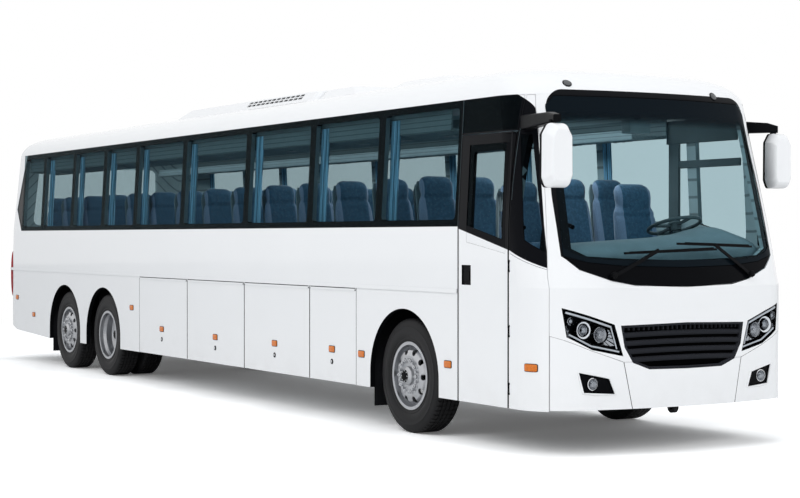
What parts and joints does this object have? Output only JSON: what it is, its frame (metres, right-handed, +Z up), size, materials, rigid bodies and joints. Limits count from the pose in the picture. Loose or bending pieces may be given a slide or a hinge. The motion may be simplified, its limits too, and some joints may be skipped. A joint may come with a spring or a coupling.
{
  "type": "coach bus",
  "caption": "Three-axle touring coach with a side entry door, top-hinged luggage bay doors, rear engine flap, steered front wheels and twin drive wheels.",
  "frame": {"origin": "on the ground, midway between the foremost point (mirror) and the rear face, on the centre plane", "axes": "+X towards the front of the coach, +Y towards its left side, +Z up"},
  "size_m": [14.0059, 3.2708, 3.235],
  "materials": {
    "white_paint": "gloss",
    "body_glass": "gloss",
    "lamp_glass": "gloss",
    "red_lens": "gloss",
    "lamp_body": "gloss",
    "black_plastic": "satin",
    "grille_black": "gloss",
    "cowl_black": "gloss",
    "mirror_white": "gloss",
    "tyre_rubber": "matte",
    "polished_alloy": "polished",
    "frame_steel": "satin",
    "axle_iron": "satin",
    "bellows_rubber": "matte",
    "engine_iron": "matte",
    "floor_covering": "matte",
    "bay_lining": "satin",
    "seat_fabric": "woven",
    "seat_steel": "satin",
    "curtain_fabric": "woven",
    "rack_plastic": "satin",
    "dash_plastic": "satin",
    "wheel_rim_black": "satin"
  },
  "bodies": {
    "coach_body": {"air_springs": "bellows_rubber", "arch_liners": "black_plastic", "axle_beams": "axle_iron", "cabin_floor": "floor_covering", "cabin_windows": "body_glass", "chassis_frame": "frame_steel", "cowl": "cowl_black", "curtains": "curtain_fabric", "dashboard": "dash_plastic", "driver_seat": "seat_fabric", "engine_block": "engine_iron", "front_bumper": "white_paint", "front_lamps": "lamp_body", "front_mask": "white_paint", "headlamp_lenses": "lamp_glass", "luggage_bays": "bay_lining", "luggage_racks": "rack_plastic", "mirror_arms": "black_plastic", "mirror_heads": "mirror_white", "radiator_grille": "grille_black", "rear_bench": "seat_fabric", "rear_bumper": "white_paint", "rear_wall": "white_paint", "roof_shell": "white_paint", "roof_units": "white_paint", "seat_frames": "seat_steel", "seats_left": "seat_fabric", "seats_right": "seat_fabric", "side_wall_left": "white_paint", "side_wall_right": "white_paint", "steering_wheel": "wheel_rim_black", "tail_lamps": "red_lens", "windscreen": "body_glass", "wipers": "black_plastic"},
    "steering_right": {"knuckle_right": "axle_iron"},
    "front_wheel_right": {"tyre_front_right": "tyre_rubber", "wheel_front_right": "polished_alloy"},
    "drive_wheel_right": {"tyre_drive_right": "tyre_rubber", "wheel_drive_right": "polished_alloy"},
    "tag_wheel_right": {"tyre_tag_right": "tyre_rubber", "wheel_tag_right": "polished_alloy"},
    "steering_left": {"knuckle_left": "axle_iron"},
    "front_wheel_left": {"tyre_front_left": "tyre_rubber", "wheel_front_left": "polished_alloy"},
    "drive_wheel_left": {"tyre_drive_left": "tyre_rubber", "wheel_drive_left": "polished_alloy"},
    "tag_wheel_left": {"tyre_tag_left": "tyre_rubber", "wheel_tag_left": "polished_alloy"},
    "entry_door_leaf": {"entry_door": "white_paint", "entry_door_glass": "body_glass"},
    "bay_door_right_1_leaf": {"bay_door_right_1": "white_paint"},
    "bay_door_right_2_leaf": {"bay_door_right_2": "white_paint"},
    "bay_door_right_3_leaf": {"bay_door_right_3": "white_paint"},
    "bay_door_right_4_leaf": {"bay_door_right_4": "white_paint"},
    "bay_door_left_1_leaf": {"bay_door_left_1": "white_paint"},
    "bay_door_left_2_leaf": {"bay_door_left_2": "white_paint"},
    "bay_door_left_3_leaf": {"bay_door_left_3": "white_paint"},
    "bay_door_left_4_leaf": {"bay_door_left_4": "white_paint"},
    "engine_door_leaf": {"engine_door": "white_paint"}
  },
  "joints": [
    {"name": "steer_right", "type": "hinge", "parent": "coach_body", "child": "steering_right", "pos_m": [4.3, -1.03, 0.506], "axis": [0, 0, 1], "range_deg": [-40, 40]},
    {"name": "front_wheel_right_spin", "type": "hinge", "parent": "steering_right", "child": "front_wheel_right", "pos_m": [4.3, -1.112, 0.506], "axis": [0, 1, 0], "continuous": true},
    {"name": "drive_wheel_right_spin", "type": "hinge", "parent": "coach_body", "child": "drive_wheel_right", "pos_m": [-3.12, -1.112, 0.506], "axis": [0, 1, 0], "continuous": true},
    {"name": "tag_wheel_right_spin", "type": "hinge", "parent": "coach_body", "child": "tag_wheel_right", "pos_m": [-4.54, -1.112, 0.506], "axis": [0, 1, 0], "continuous": true},
    {"name": "steer_left", "type": "hinge", "parent": "coach_body", "child": "steering_left", "pos_m": [4.3, 1.03, 0.506], "axis": [0, 0, 1], "range_deg": [-40, 40]},
    {"name": "front_wheel_left_spin", "type": "hinge", "parent": "steering_left", "child": "front_wheel_left", "pos_m": [4.3, 1.112, 0.506], "axis": [0, 1, 0], "continuous": true},
    {"name": "drive_wheel_left_spin", "type": "hinge", "parent": "coach_body", "child": "drive_wheel_left", "pos_m": [-3.12, 1.112, 0.506], "axis": [0, 1, 0], "continuous": true},
    {"name": "tag_wheel_left_spin", "type": "hinge", "parent": "coach_body", "child": "tag_wheel_left", "pos_m": [-4.54, 1.112, 0.506], "axis": [0, 1, 0], "continuous": true},
    {"name": "entry_door_swing", "type": "hinge", "parent": "coach_body", "child": "entry_door_leaf", "pos_m": [5.959, -1.303, 1.2], "axis": [0, 0, 1], "range_deg": [0, 85]},
    {"name": "bay_door_right_1_lift", "type": "hinge", "parent": "coach_body", "child": "bay_door_right_1_leaf", "pos_m": [-1.188, -1.298, 1.248], "axis": [-1, 0, 0], "range_deg": [0, 85]},
    {"name": "bay_door_right_2_lift", "type": "hinge", "parent": "coach_body", "child": "bay_door_right_2_leaf", "pos_m": [0.274, -1.298, 1.248], "axis": [-1, 0, 0], "range_deg": [0, 85]},
    {"name": "bay_door_right_3_lift", "type": "hinge", "parent": "coach_body", "child": "bay_door_right_3_leaf", "pos_m": [1.7635, -1.298, 1.248], "axis": [-1, 0, 0], "range_deg": [0, 85]},
    {"name": "bay_door_right_4_lift", "type": "hinge", "parent": "coach_body", "child": "bay_door_right_4_leaf", "pos_m": [2.9755, -1.298, 1.248], "axis": [-1, 0, 0], "range_deg": [0, 85]},
    {"name": "bay_door_left_1_lift", "type": "hinge", "parent": "coach_body", "child": "bay_door_left_1_leaf", "pos_m": [-1.188, 1.298, 1.248], "axis": [1, 0, 0], "range_deg": [0, 85]},
    {"name": "bay_door_left_2_lift", "type": "hinge", "parent": "coach_body", "child": "bay_door_left_2_leaf", "pos_m": [0.274, 1.298, 1.248], "axis": [1, 0, 0], "range_deg": [0, 85]},
    {"name": "bay_door_left_3_lift", "type": "hinge", "parent": "coach_body", "child": "bay_door_left_3_leaf", "pos_m": [1.7635, 1.298, 1.248], "axis": [1, 0, 0], "range_deg": [0, 85]},
    {"name": "bay_door_left_4_lift", "type": "hinge", "parent": "coach_body", "child": "bay_door_left_4_leaf", "pos_m": [2.9755, 1.298, 1.248], "axis": [1, 0, 0], "range_deg": [0, 85]},
    {"name": "engine_door_lift", "type": "hinge", "parent": "coach_body", "child": "engine_door_leaf", "pos_m": [-6.99145, 0, 1.486], "axis": [0, 1, 0], "range_deg": [0, 80]}
  ],
  "couplings": [
    {"joint": "steer_left", "follows": "steer_right", "ratio": 1}
  ]
}
